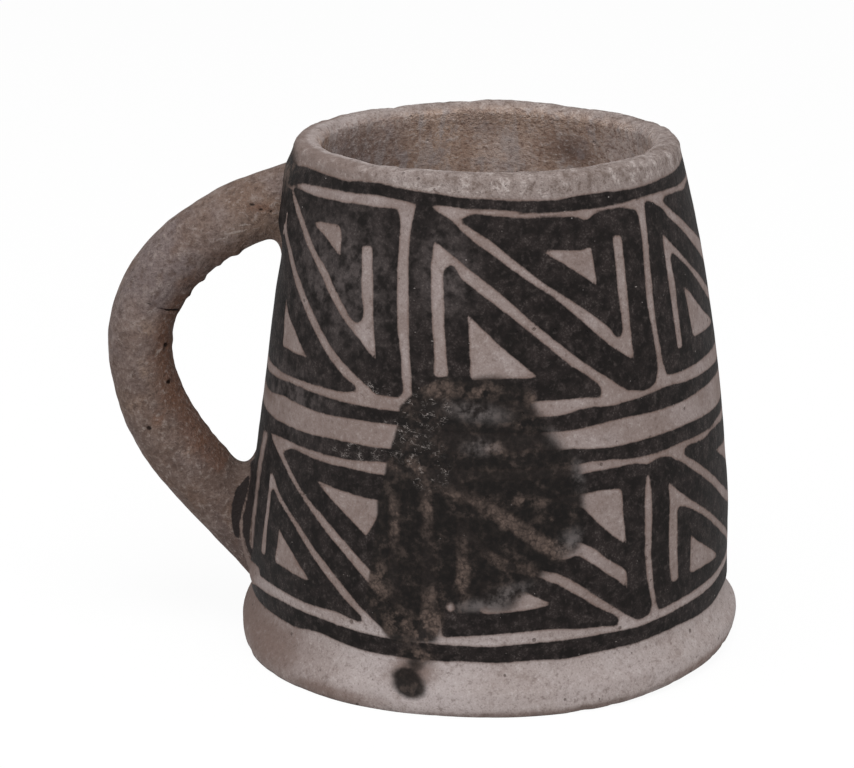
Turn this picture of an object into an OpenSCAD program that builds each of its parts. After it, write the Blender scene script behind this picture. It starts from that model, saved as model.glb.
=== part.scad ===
// Coil-built clay mug with a flared foot, a tall wall that narrows to the lip,
// and one thick rolled handle, whose tenons pass through holes in the wall.
// The origin is the middle of the foot's underside, and the handle points to -X.

/* [Body] */
// Height from the table to the top of the lip
mug_h = 111; // [90:1:150]
// Radius of the foot at its widest line
foot_r = 55; // [48:0.5:65]
// Height of the foot's widest line
foot_widest_z = 4; // [2:0.5:6]
// How far the worn lower edge of the foot draws in at the table
foot_undercut = 2; // [0.5:0.5:4]
// How far the waist above the foot draws in from the foot's widest line
waist_draw = 2.3; // [0.5:0.1:5]
// Height of the waist
waist_z = 13; // [10:0.5:17]
// Outer radius of the wall at the lip
lip_r = 40; // [34:0.5:46]
// How late the wall turns inward: 1 is a straight cone, more bellies the lower part
wall_bow = 1.75; // [1:0.05:2.5]
// Thickness of the wall
wall_t = 6; // [5:0.5:8]
// Radius of the lip's two corners
lip_corner_r = 2.3; // [1:0.1:2.4]

/* [Floor and coils] */
// Thickness of the floor
floor_t = 9; // [6:0.5:9.5]
// Radius of the clay smoothed into the corner between floor and wall
floor_fillet_r = 8; // [3:0.5:12]
// How much lower a coil's seam runs at the inside than at the outside
seam_drop = 5; // [1:0.5:8]

/* [Handle] */
// How far the middle of the roll stands out beyond the waist, where it is farthest
roll_stand = 23.7; // [20:0.1:35]
// Height of that farthest point
roll_far_z = 63.8; // [58:0.2:70]
// How far below the lip the roll's middle meets the wall at its upper end
roll_top_drop = 13.5; // [12:0.5:20]
// Angle below level at which the roll leaves the wall at its upper end
roll_top_angle = 19.5; // [5:0.5:25]
// Height where the roll's middle meets the wall at its lower end
roll_low_z = 22; // [20:0.5:30]
// Angle above level at which the roll leaves the wall at its lower end
roll_low_angle = 48.5; // [35:0.5:50]
// Thickness of the roll at its upper end, seen from the side
roll_top_t = 14.2; // [11:0.2:16]
// Thickness of the roll at the farthest point
roll_mid_t = 14.1; // [11:0.1:17]
// Thickness of the roll at its lower end
roll_low_t = 16; // [12:0.2:17]
// Width of the roll from front to back at the farthest point
roll_mid_w = 17.5; // [14:0.5:24]
// Width of the roll at both ends
roll_end_w = 19; // [15:0.5:24]

/* [Joints of the handle] */
// Radius of the tenons that pass through the wall
tenon_r = 5; // [3:0.25:5.5]
// Room between a tenon and its hole
tenon_room = 0.15; // [0.05:0.05:0.3]
// Room between the pieces that are pressed against the outside of the wall
seat_room = 0.1; // [0.05:0.05:0.2]
// How far the upper luting clay spreads over the wall below the roll
top_luting_under = 3.4; // [1:0.1:5]
// How far it spreads over the wall above the roll
top_luting_over = 1.2; // [1:0.1:2.5]
// How far it spreads over the wall in front of the roll and behind it
top_luting_side = 2.4; // [1:0.1:5]
// How far it climbs along the roll
top_luting_l = 3.6; // [2:0.1:3.8]
// How far the lower luting clay spreads over the wall above the roll
low_luting_over = 3.7; // [1:0.1:4.5]
// How far it spreads over the wall below the roll
low_luting_under = 1; // [1:0.1:1.5]
// How far it spreads over the wall in front of the roll and behind it
low_luting_side = 4; // [1:0.1:6]
// How far it climbs along the roll
low_luting_l = 7.6; // [3:0.1:7.8]
// Thickness of the luting clay at its smoothed edges
luting_edge = 0.6; // [0.4:0.1:1]

/* [Hidden] */

// Colours of the fired clay, the pale slip and the bare handle
clay = [0.44, 0.38, 0.36];
slip = [0.55, 0.51, 0.50];
bare = [0.40, 0.34, 0.31];

// Length added to a cutter, so that it passes right through what it cuts
overrun = 1;
// Coils between the floor and the rim coil
wall_coils = 7;
// Straight stretch of the roll, from where its whole ring is clear of the wall
top_straight = 3;
low_straight = 8;
// Shares of a bow's chord by which each end pulls its curve straight
top_pull_share = 0.373;
low_pull_share = 0.33;

// Faces of the turned surfaces, steps of a coil's profile, corner, fillet and foot
turn_faces = 128;
coil_steps = 4;
corner_steps = 6;
foot_steps = 8;
// Sides of the roll's section, rings along each half of its bow, steps of a luting ring
roll_sides = 28;
bow_rings = 14;
luting_steps = 5;
// Halvings that find where a line meets the wall, the length that they search, and how
// far beyond its place a wide ring starts, so that none of it starts inside the wall
halvings = 22;
search_l = foot_r;
spare_l = 12;

coil_pitch = (mug_h - floor_t) / (wall_coils + 1);
waist_r = foot_r - waist_draw;
roll_reach = waist_r + roll_stand;
roll_top_z = mug_h - roll_top_drop;

// Outer profile

// Radius of the outside at height z: rounded edge, flare of the foot, then the wall
function edge_r(z) = foot_r - foot_undercut * (1 - sqrt(1 - pow(1 - z / foot_widest_z, 2)));
function flare_r(z) =
  waist_r + (foot_r - waist_r) * (1 + cos(180 * (z - foot_widest_z) / (waist_z - foot_widest_z))) / 2;
function upper_r(z) =
  waist_r - (waist_r - lip_r) * pow((z - waist_z) / (mug_h - waist_z), wall_bow);
function outer_r(z) = z < foot_widest_z ? edge_r(z) : z < waist_z ? flare_r(z) : upper_r(z);

// Radius of the inside at height z, with the fillet on the floor
function wall_in_r(z) = outer_r(max(z, waist_z)) - wall_t;
function fillet_in(z) =
  z < floor_t + floor_fillet_r
    ? floor_fillet_r - sqrt(pow(floor_fillet_r, 2) - pow(floor_t + floor_fillet_r - z, 2))
    : 0;
function inner_r(z) = wall_in_r(z) - fillet_in(z);

// Height of seam i at the outside and at the inside of the wall
function seam_out_z(i) = floor_t + i * coil_pitch;
function seam_in_z(i) = i == 0 ? floor_t : seam_out_z(i) - seam_drop;

function blend(a, b, share) = a + (b - a) * share;

// Turned pieces

function profile_up(z0, z1, steps) =
  [for (k = [0 : steps]) let (z = blend(z0, z1, k / steps)) [outer_r(z), z]];
function profile_down(z1, z0, steps) =
  [for (k = [0 : steps]) let (z = blend(z1, z0, k / steps)) [inner_r(z), z]];

// Holes for the two tenons, level and through the wall on the handle's side
module tenon_holes() {
  for (z = [roll_low_z, roll_top_z])
    translate([0, 0, z])
      rotate([0, -90, 0])
        cylinder(r = tenon_r + tenon_room, h = foot_r + overrun, $fn = turn_faces);
}

// Floor pat, whose proud rounded edge is the foot
module base_disc() {
  edge = [
    for (k = [0 : foot_steps])
      let (z = foot_widest_z * (1 - cos(90 * k / foot_steps)))
        [outer_r(z), z]
  ];
  flare = [for (p = profile_up(foot_widest_z, floor_t, foot_steps)) if (p[1] > foot_widest_z) p];
  color(clay)
    rotate_extrude($fn = turn_faces)
      polygon(concat([[0, 0]], edge, flare, [[0, floor_t]]));
}

// Coil i of the wall, with a sloping seam above and, but for the first, below
module wall_coil(i) {
  steps = i == 1 ? 2 * coil_steps : coil_steps;
  outside = profile_up(seam_out_z(i - 1), seam_out_z(i), steps);
  inside = profile_down(seam_in_z(i), seam_in_z(i - 1), steps);
  color(slip)
    difference() {
      rotate_extrude($fn = turn_faces) polygon(concat(outside, inside));
      tenon_holes();
    }
}

// Last coil, smoothed to a lip with two round corners
module rim_coil() {
  corner_z = mug_h - lip_corner_r;
  outer_corner = [outer_r(corner_z) - lip_corner_r, corner_z];
  inner_corner = [inner_r(corner_z) + lip_corner_r, corner_z];
  round_over = [
    for (k = [0 : corner_steps])
      let (a = 90 * k / corner_steps)
        outer_corner + lip_corner_r * [cos(a), sin(a)]
  ];
  round_in = [
    for (k = [0 : corner_steps])
      let (a = 90 + 90 * k / corner_steps)
        inner_corner + lip_corner_r * [cos(a), sin(a)]
  ];
  outside = [for (p = profile_up(seam_out_z(wall_coils), corner_z, coil_steps)) if (p[1] < corner_z) p];
  inside = [
    for (p = profile_down(corner_z, seam_in_z(wall_coils), coil_steps)) if (p[1] < corner_z) p
  ];
  color(slip)
    difference() {
      rotate_extrude($fn = turn_faces) polygon(concat(outside, round_over, round_in, inside));
      tenon_holes();
    }
}

// Path of the handle's roll, in the plane y = 0

// Directions in which the roll leaves the wall
top_out = [-cos(roll_top_angle), 0, -sin(roll_top_angle)];
low_out = [-cos(roll_low_angle), 0, sin(roll_low_angle)];
up = [0, 0, 1];
outward = [-1, 0, 0];
// Middle of each root on the wall, and where the bow starts beyond the straight stretch
top_root = [-outer_r(roll_top_z), 0, roll_top_z];
low_root = [-outer_r(roll_low_z), 0, roll_low_z];
bow_top = top_root + top_out * (clear_l(top_root, top_out, roll_top_t) + top_straight);
bow_low = low_root + low_out * (clear_l(low_root, low_out, roll_low_t) + low_straight);
bow_far = [-roll_reach, 0, roll_far_z];
top_pull = top_pull_share * norm(bow_far - bow_top);
low_pull = low_pull_share * norm(bow_far - bow_low);
top_bow = [bow_top, bow_top + top_out * top_pull, bow_far + up * top_pull, bow_far];
low_bow = [bow_far, bow_far - up * low_pull, bow_low + low_out * low_pull, bow_low];

// Point and direction at share s of a curve with four controls
function curve_at(c, s) =
  pow(1 - s, 3) * c[0] + 3 * pow(1 - s, 2) * s * c[1] + 3 * (1 - s) * s * s * c[2] + pow(s, 3) * c[3];
function curve_way(c, s) =
  let (d = pow(1 - s, 2) * (c[1] - c[0]) + 2 * (1 - s) * s * (c[2] - c[1]) + s * s * (c[3] - c[2]))
    d / norm(d);

// Smooth change from 0 to 1
function ease(s) = (1 - cos(180 * s)) / 2;

// Direction across the roll, in the plane of its bow
function across(way) = [-way[2], 0, way[0]];

// Oval ring round a point of the path
function oval(middle, way, width, thickness) =
  [
    for (k = [0 : roll_sides - 1])
      let (a = 360 * k / roll_sides)
        middle + [0, 1, 0] * width / 2 * cos(a) + across(way) * thickness / 2 * sin(a)
  ];

// Length along way d at which a line from point p comes to the wall, less the seat's room
function to_wall(p, d, low = 0, high = search_l, n = halvings) =
  n == 0
    ? low
    : let (mid = (low + high) / 2, q = p + d * mid)
        norm([q[0], q[1]]) > outer_r(q[2]) + seat_room
          ? to_wall(p, d, mid, high, n - 1)
          : to_wall(p, d, low, mid, n - 1);
function on_wall(ring, d) = [for (p = ring) p + d * to_wall(p, d)];

// Length from a root at which the whole ring of a roll that leaves along out is off the wall
function clear_l(root, out, thickness) =
  search_l / 2
    - min([for (p = oval(root + out * search_l / 2, out, roll_end_w, thickness)) to_wall(p, -out)]);

// Round ring of a tenon that points along way, laid on the inside or outside of the wall
function tenon_ring(z, way, inside) =
  [
    for (p = oval([0, 0, z], way, 2 * tenon_r, 2 * tenon_r))
      let (r = inside ? inner_r(p[2]) : outer_r(p[2]) + seat_room)
        [-sqrt(r * r - p[1] * p[1]), p[1], p[2]]
  ];

// Solid between rings of equally many points, closed at its two ends or round in a loop
module loft(rings, loop = false) {
  n = len(rings[0]);
  m = len(rings);
  last = loop ? m - 1 : m - 2;
  sides = [
    for (j = [0 : last], k = [0 : n - 1])
      let (a = j * n + k, b = j * n + (k + 1) % n, c = (j + 1) % m * n + k, d = (j + 1) % m * n + (k + 1) % n)
        each [[a, c, b], [c, d, b]]
  ];
  ends = [for (k = [1 : n - 2]) each [[0, k, k + 1], [(m - 1) * n, (m - 1) * n + k + 1, (m - 1) * n + k]]];
  polyhedron(points = [for (r = rings) each r], faces = loop ? sides : concat(sides, ends));
}

// Handle: one roll of clay, bent to a bow, with its two ends pared down to tenons
module handle_roll() {
  top_rings = [
    for (k = [0 : bow_rings])
      let (s = k / bow_rings, e = ease(s))
        oval(
          curve_at(top_bow, s), curve_way(top_bow, s),
          blend(roll_end_w, roll_mid_w, e), blend(roll_top_t, roll_mid_t, e)
        )
  ];
  low_rings = [
    for (k = [1 : bow_rings])
      let (s = k / bow_rings, e = ease(s))
        oval(
          curve_at(low_bow, s), curve_way(low_bow, s),
          blend(roll_mid_w, roll_end_w, e), blend(roll_mid_t, roll_low_t, e)
        )
  ];
  rings = concat(
    [tenon_ring(roll_top_z, outward, true), tenon_ring(roll_top_z, outward, false)],
    [on_wall(top_rings[0], -top_out)],
    top_rings,
    low_rings,
    [on_wall(low_rings[bow_rings - 1], -low_out)],
    [tenon_ring(roll_low_z, -outward, false), tenon_ring(roll_low_z, -outward, true)]
  );
  color(bare) loft(rings);
}

// Ring of luting clay in the corner round one root of the roll. It spreads by grip on the
// side of the finger gap, by back on the other side and by side in front and behind, and its
// face is a hollow quarter curve that climbs along the roll. gap_side is the finger gap's sign.
module luting(start, out, thickness, grip, back, side, climb, gap_side) {
  foot = function (edge, share)
    let (
      shift = gap_side * across(out) * (grip - back) / 2 * share,
      width = roll_end_w + 2 * (seat_room + edge) + 2 * (side - luting_edge) * share,
      height = thickness + 2 * (seat_room + edge) + (grip + back - 2 * luting_edge) * share
    )
      on_wall(oval(start + shift + out * spare_l, out, width, height), -out);
  seat = foot(0, 0);
  face = [
    for (k = [0 : luting_steps])
      let (a = 90 * k / luting_steps, lift = luting_edge + (climb - luting_edge) * (1 - cos(a)))
        [for (p = foot(luting_edge, 1 - sin(a))) p + out * lift]
  ];
  color(bare)
    loft(concat([foot(luting_edge, 1)], face, [[for (p = seat) p + out * climb]], [seat]), loop = true);
}

module upper_luting() {
  luting(
    bow_top, top_out, roll_top_t,
    top_luting_under, top_luting_over, top_luting_side, top_luting_l, 1
  );
}

module lower_luting() {
  luting(
    bow_low, low_out, roll_low_t,
    low_luting_over, low_luting_under, low_luting_side, low_luting_l, -1
  );
}

base_disc();
wall_coil(1);  // wall_coil_1
wall_coil(2);  // wall_coil_2
wall_coil(3);  // wall_coil_3
wall_coil(4);  // wall_coil_4
wall_coil(5);  // wall_coil_5
wall_coil(6);  // wall_coil_6
wall_coil(7);  // wall_coil_7
rim_coil();
handle_roll();
upper_luting();
lower_luting();
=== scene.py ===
import bpy
import numpy as np
from mathutils import Matrix, noise


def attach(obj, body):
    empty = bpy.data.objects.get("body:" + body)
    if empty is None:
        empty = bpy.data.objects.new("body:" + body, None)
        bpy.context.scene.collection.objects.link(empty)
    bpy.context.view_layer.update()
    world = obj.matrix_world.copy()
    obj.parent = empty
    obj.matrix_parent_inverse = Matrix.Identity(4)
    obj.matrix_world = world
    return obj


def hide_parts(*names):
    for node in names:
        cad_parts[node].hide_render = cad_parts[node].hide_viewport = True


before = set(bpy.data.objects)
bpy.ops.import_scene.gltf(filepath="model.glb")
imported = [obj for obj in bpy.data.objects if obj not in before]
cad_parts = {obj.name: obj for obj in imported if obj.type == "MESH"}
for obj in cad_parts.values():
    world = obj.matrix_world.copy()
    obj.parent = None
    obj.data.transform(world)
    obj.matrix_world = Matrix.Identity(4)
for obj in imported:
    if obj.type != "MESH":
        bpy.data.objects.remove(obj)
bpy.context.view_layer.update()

# Body. A floor pat and eight coils of clay, pressed together and scraped until no seam shows. The edge of
# the pat stands proud as the foot, and the last coil is rounded to the lip. It has a pale slip and a design
# brushed on in black before the firing, and soot from a fire on its front.

MM = 0.001
mug_h, lip_r, waist_r, waist_z, wall_bow = 111.0, 40.0, 52.7, 13.0, 1.75
foot_r, foot_widest_z, foot_undercut = 55.0, 4.0, 0.9
wall_t, floor_t, fillet_r, lip_corner_r = 6.0, 9.0, 8.0, 2.3
# Angles run from the front towards the right; the first column is behind the handle
columns, first_angle = 416, -98.0
angles = first_angle + 360 * np.arange(columns) / columns
turn = np.radians(angles)


def outer_r(z):
    """Radius of the outside at height z: the rounded edge, the flare of the foot, then the wall."""
    edge = foot_r - foot_undercut * (1 - np.sqrt(np.clip(1 - (1 - z / foot_widest_z) ** 2, 0, 1)))
    up_flare = np.clip((z - foot_widest_z) / (waist_z - foot_widest_z), 0, 1)
    flare = waist_r + (foot_r - waist_r) * (1 + np.cos(np.pi * up_flare)) / 2
    up_wall = np.clip((z - waist_z) / (mug_h - waist_z), 0, None)
    wall = waist_r - (waist_r - lip_r) * up_wall ** wall_bow
    return np.where(z < foot_widest_z, edge, np.where(z < waist_z, flare, wall))


def ripple(points, size, shift):
    """Smooth random relief, about -1 to 1, in patches of the given size in mm."""
    spots = (points.reshape(-1, 3) / size + shift).tolist()
    return np.reshape([noise.noise(p) for p in spots], points.shape[:-1])


def fade(x, start, end):
    """Smooth change from 0 at start to 1 at end."""
    share = np.clip((x - start) / (end - start), 0, 1)
    return share * share * (3 - 2 * share)


def band(x, start, full, still_full, end):
    """1 from full to still_full, and falling smoothly to 0 at start and at end."""
    return fade(x, start, full) * fade(x, end, still_full)


def waves(points, *layers):
    """Random relief in mm, from the height, the patch size and the shift of each layer."""
    return sum(tall * ripple(points, size, shift) for tall, size, shift in layers)


def apart(at):
    """How many degrees each column of the body lies from one angle."""
    return np.abs((angles - at + 180) % 360 - 180)


def all_round(r, z):
    """Points of the body in all its columns, from their radius and height."""
    return np.stack([r * np.sin(turn), -r * np.cos(turn), z + 0 * turn], -1)


def skin(name, rings, first_end, last_end):
    """Closed mesh through rings of equally many points, drawn to a point at each end."""
    rows, sides = rings.shape[:2]
    here = np.arange(sides)
    ahead = (here + 1) % sides
    first = np.arange(rows - 1)[:, None] * sides
    quads = np.stack([first + here, first + ahead, first + sides + ahead, first + sides + here], -1)
    last = (rows - 1) * sides
    start_fan = np.stack([ahead, here, np.full(sides, rows * sides)], -1)
    end_fan = np.stack([last + here, last + ahead, np.full(sides, rows * sides + 1)], -1)
    points = np.vstack([rings.reshape(-1, 3), first_end, last_end]) * MM
    mesh = bpy.data.meshes.new(name)
    faces = quads.reshape(-1, 4).tolist() + start_fan.tolist() + end_fan.tolist()
    mesh.from_pydata(points.tolist(), [], faces)
    mesh.polygons.foreach_set("use_smooth", [True] * len(mesh.polygons))
    piece = bpy.data.objects.new(name, mesh)
    bpy.context.scene.collection.objects.link(piece)
    return piece


def mark(piece, name, values):
    """Keeps one number for each point of a skin, for its material to read."""
    ends = [values[0].mean(), values[-1].mean()]
    layer = piece.data.attributes.new(name, "FLOAT", "POINT")
    layer.data.foreach_set("value", np.append(values.ravel(), ends).astype(np.float32))


# Profile from the middle of the underside out to the foot, up the wall, over the lip and down inside
corner_rows, under_rows, wall_rows, inside_rows, floor_rows = 8, 14, 152, 34, 8
quarter = np.linspace(0, np.pi / 2, corner_rows)
lip_z, inmost_r = mug_h - lip_corner_r, 3
under_r = np.linspace(inmost_r, foot_r - foot_undercut, under_rows)
wall_z = np.linspace(foot_widest_z, lip_z, wall_rows)
inside_z = np.linspace(lip_z, floor_t + fillet_r, inside_rows)
inside_end_r = outer_r(floor_t + fillet_r) - wall_t
floor_r = np.linspace(inside_end_r - fillet_r, inmost_r, floor_rows)
stretches = [
    (under_r, 0 * under_r),
    (foot_r - foot_undercut * (1 - np.sin(quarter)), foot_widest_z * (1 - np.cos(quarter))),
    (outer_r(wall_z), wall_z),
    (outer_r(lip_z) - lip_corner_r * (1 - np.cos(quarter)), lip_z + lip_corner_r * np.sin(quarter)),
    (outer_r(lip_z) - wall_t + lip_corner_r * (1 - np.sin(quarter)), lip_z + lip_corner_r * np.cos(quarter)),
    (outer_r(inside_z) - wall_t, inside_z),
    (inside_end_r - fillet_r * (1 - np.cos(quarter)), floor_t + fillet_r * (1 - np.sin(quarter))),
    (floor_r, floor_t + 0 * floor_r),
]
profile = np.hstack(stretches).T
keep = np.append(True, np.hypot(*np.diff(profile, axis=0).T) > 1e-6)
profile = profile[keep]
top_row = int(np.argmax(profile[:, 1]))
row_r, row_z = profile[:, :1], profile[:, 1:]
along = np.gradient(profile, axis=0)
along /= np.linalg.norm(along, axis=1, keepdims=True)
face_r, face_z = along[:, 1:], -along[:, :1]
even = all_round(row_r, row_z)
row = np.arange(len(profile))[:, None]
on_inside = (row > top_row) & (row_z > floor_t)
on_outside = (row >= under_rows - 1) & (row <= top_row)

# Relief in mm: the wander of hand building, the marks of the scraper, and wear on the lip and the foot
near_lip, near_table = fade(row_z, lip_z - 3, lip_z + 1), fade(row_z, 7, 1) * on_outside
relief = waves(even, (0.30, 33, 0.0), (0.16, 12, 4.1), (0.07, 4.5, 8.3))
relief += np.where(on_inside, 0.12, 0.03) * ripple(even * [0.22, 0.22, 1.0], 4.2, 2.7)
worn_off = np.clip(ripple(even, 7.5, 6.6) - 0.02, 0, None) + np.clip(ripple(even, 2.6, 1.9) - 0.18, 0, None)
relief += near_lip * (0.10 * ripple(even, 1.5, 5.5) - 0.45 * worn_off)
relief -= near_table * 0.5 * np.clip(ripple(even, 3.1, 3.3) - 0.2, 0, None)
# The neck of the foot is pinched, and its edge is fuller at the front left
relief -= on_outside * 0.5 * band(row_z, 4.5, 7.5, 10, 14)
relief += on_outside * 1.1 * fade(apart(-50), 42, 8) * fade(row_z, 7, 2)
relief += on_outside * 0.5 * fade(apart(0), 80, 50) * fade(row_z, 5, 1)
# Where the wall stands out from its even shape, in mm: it leans a little to the right, and clay was drawn
# out to the handle below and above it
rightward, off_handle = np.sin(turn), apart(-90)
pushed = 0.5 * np.clip(rightward, 0, 1) * band(row_z, 14, 34, 84, 104)
pushed = pushed + 0.45 * np.clip(rightward, -1, 0) * band(row_z, 42, 58, 84, 94)
pushed = pushed + 0.8 * fade(off_handle, 36, 6) * band(row_z, 9, 14, 32, 46)
pushed = pushed + 1.0 * fade(off_handle, 42, 8) * band(row_z, 88, 94, 104, 109)
pushed = pushed * on_outside + 1.6 * fade(off_handle, 60, 5) * fade(row_z, 82, 104)
body_r = row_r + relief * face_r + pushed
# The rim lies a little lower at the back
body_z = row_z + relief * face_z - 0.7 * fade(apart(138), 45, 5) * fade(row_z, 96, 108)
# The foot was cut a little askew, so its edge leaves the table on the right
foot_lift = np.interp(angles, [-60, 15, 30, 50, 75, 100, 130], [0, 0, 0.8, 1.8, 2.6, 1.6, 0], period=360)
body_z = body_z + foot_lift * fade(row_z, 12, 0) * fade(row_r, 36, 53)
body_z = np.maximum(body_z, 0)
underside_middle, floor_middle = [0, 0, 0.3], [0, 0, floor_t]
body = skin("painted_body", all_round(body_r, body_z), underside_middle, floor_middle)


# The design: edges of the brushed rings, and outlines of the shapes that the brush left pale

def round_line(*marks):
    """Height of one brushed edge all the way round, from angles and heights in turn."""
    at, height = np.reshape(marks, (-1, 2)).T
    line = np.interp(angles, at, height, period=360)
    return sum(w * np.roll(line, k - 2) for k, w in enumerate([1, 2, 3, 2, 1])) / 9


lip_ring = (
    round_line(
        -90, 107.4, -85, 107, -80, 107.2, -75, 107.5, -70, 107.8, -65, 107.8, -60, 107.7, -50, 107.5,
        -45, 107.4, -40, 108, -33, 108.1, -27, 107.7, -20, 107.3, -14, 107.1, -10, 106.7, 0, 106.4,
        10, 105.9, 20, 105.8, 26, 106.3, 35, 106.3, 45, 105.8, 60, 106.1, 72, 106.3, 80, 106.9, 105, 106.4,
        140, 106.9, 170, 106.3, 200, 106.8, 235, 106.2, 262, 107.2),
    round_line(
        -90, 103, -85, 103.2, -80, 103.6, -75, 104.1, -70, 104.6, -60, 105, -50, 105.2, -43, 105.3,
        -36, 105.7, -30, 105.6, -25, 105.3, -20, 104.9, -12, 105, -7, 104.5, 0, 104.5, 5, 104.3, 10, 103.6,
        25, 103.4, 35, 103.5, 45, 103.7, 50, 103.9, 55, 103.8, 60, 103.7, 66, 103.5, 70, 103.2, 80, 103.2,
        110, 103.8, 145, 104.3, 175, 103.7, 205, 104, 240, 103.4, 262, 102.8),
)
upper_field = (
    round_line(
        -88, 102.3, -80, 103, -75, 103.2, -60, 102.9, -50, 103, -40, 103.3, -30, 103.4, -27, 103.5,
        -21.6, 103.6, -20.9, 105.6, -17, 105.4, -16, 104.3, -12.5, 102.9, -9, 102.1, -7.5, 102.5, -6, 103.3,
        -5, 103.6, 0, 103.2, 5, 102.9, 10, 102.6, 17, 102.5, 25, 102.1, 26, 101.6, 27.3, 100.8, 28.5, 101.8,
        30, 102.4, 33, 102.8, 40, 102.6, 43, 102, 45, 101.7, 48, 102.4, 50, 103, 52.5, 102.3, 55, 101.3,
        56.4, 100.2, 57.8, 102, 59.2, 102.5, 68, 102.2, 75, 101.5, 80, 102, 112, 102.3, 118, 101.6,
        150, 102.8, 187, 102.4, 192, 101.8, 225, 102.6, 262, 101.2),
    round_line(
        -76, 63.7, -65, 64, -55, 64.5, -45, 64.9, -38, 65, -35, 65.8, -20, 66, -10, 66.3, 12, 66.1,
        20, 66.1, 24, 66.1, 28, 65.4, 36, 66.2, 40, 65.3, 43, 65.4, 45, 66.2, 50, 67.2, 52, 66.8, 60, 66.7,
        70, 66.9, 90, 66.6, 120, 66.2, 150, 66.4, 180, 65.8, 210, 65.5, 240, 65, 265, 64.2),
)
second_ring = (
    round_line(
        -78, 61.2, -75, 61.4, -70, 61.9, -65, 62.3, -60, 62.9, -55, 63, -30, 63, -22, 63.1, 18, 62.9,
        21, 63.6, 25, 64, 30, 63.5, 37, 64, 42, 64.2, 46, 64.7, 50, 64.9, 54, 64.5, 60, 64.1, 70, 63.8,
        80, 63.3, 120, 63.7, 160, 63.2, 200, 63.4, 240, 62.6, 270, 61.2),
    round_line(
        -75, 57.8, -70, 58.1, -66, 58.9, -62, 59.5, -45, 59.4, -35, 60, -25, 60.3, 20, 59.7, 26, 60.2,
        33, 60.7, 45, 60.5, 55, 60.6, 65, 60.9, 75, 60.9, 100, 60.5, 140, 60.1, 180, 60.5, 220, 59.7,
        260, 58.2),
)
third_ring = (
    round_line(
        -75, 53.2, -65, 53.5, -60, 53.8, -50, 54.1, -40, 54.9, -30, 55, -25, 55.2, 20, 55.9, 25, 55.3,
        30, 55.1, 37, 55.2, 45, 55.4, 57, 55.5, 65, 55.1, 75, 54.8, 110, 55.3, 150, 54.9, 190, 55.3,
        230, 54.6, 265, 53.6),
    round_line(
        -78, 50, -67, 50.1, -60, 50.8, -45, 51.1, -35, 51.4, -30, 51.9, -26, 52.4, 18, 52.6, 25, 52.8,
        30, 52.6, 34, 52, 45, 51.8, 52, 52.3, 60, 52, 68, 51.7, 75, 52.3, 110, 52, 150, 51.7, 190, 52.2,
        230, 51.3, 270, 50.2),
)
lower_field = (
    round_line(
        -78, 50.4, -69, 50.4, -66, 49, -61.5, 47.5, -60, 48.1, -57.5, 49.1, -55, 49.8, -45, 49.4, -35, 49.6,
        -25, 49.6, 20, 50.3, 25, 50.7, 37.5, 50.8, 39.2, 49.9, 40.4, 49.6, 41.5, 50.5, 45, 50.7, 47.5, 50.4,
        50, 49.2, 52, 49, 53.2, 50.4, 55, 51.1, 60, 50.6, 65, 50.4, 69, 50.9, 75, 50.9, 80, 50.2, 110, 50.8,
        150, 50.4, 190, 50.9, 230, 50, 262, 49.3, 276, 50.4),
    round_line(
        -90, 16.2, -80, 16.9, -70, 17.7, -60, 18, -45, 18, -38, 18.4, -35, 18.1, -32.5, 17.6, -29, 17.3,
        -24, 16.4, -10, 16.7, -2, 17.3, 5, 17.9, 15, 18.2, 20, 17.6, 26, 17.4, 30, 17, 36, 17.1, 38, 17.1,
        40, 17.8, 45, 18, 50, 18.4, 60, 18.7, 66, 19, 70, 19.4, 75, 19.6, 110, 18.8, 150, 18.3, 190, 18.6,
        230, 18.1, 262, 18),
)
foot_ring = (
    round_line(
        -88, 11.6, -80, 13.5, -77, 14.2, -70, 14.7, -65, 15, -60, 15.4, -55, 15.7, -40, 15.7, -35, 15.4,
        -25, 15, -12, 15, 0, 14.8, 7, 15.3, 15, 15.4, 27, 15.7, 35, 15.5, 40, 15.8, 50, 16.4, 60, 16.6,
        65, 16.8, 70, 17.3, 75, 17.8, 110, 16.9, 150, 16.3, 190, 16.1, 230, 15.1, 258, 13, 268, 11.9),
    round_line(
        -88, 10, -80, 10.7, -70, 11, -60, 11.3, -51, 11.3, -46, 12.2, -42, 12.4, -36, 11.8, -30, 11.3,
        -24, 11.2, -10, 11.4, -5, 11.6, 2, 11.3, 10, 11.7, 17, 11.3, 25, 11.9, 35, 12, 45, 12.5, 50, 12.7,
        57, 12.3, 66, 12.3, 72, 13, 76, 13.5, 110, 12.8, 150, 12.3, 190, 12.2, 230, 11.8, 262, 10.3),
)
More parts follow.
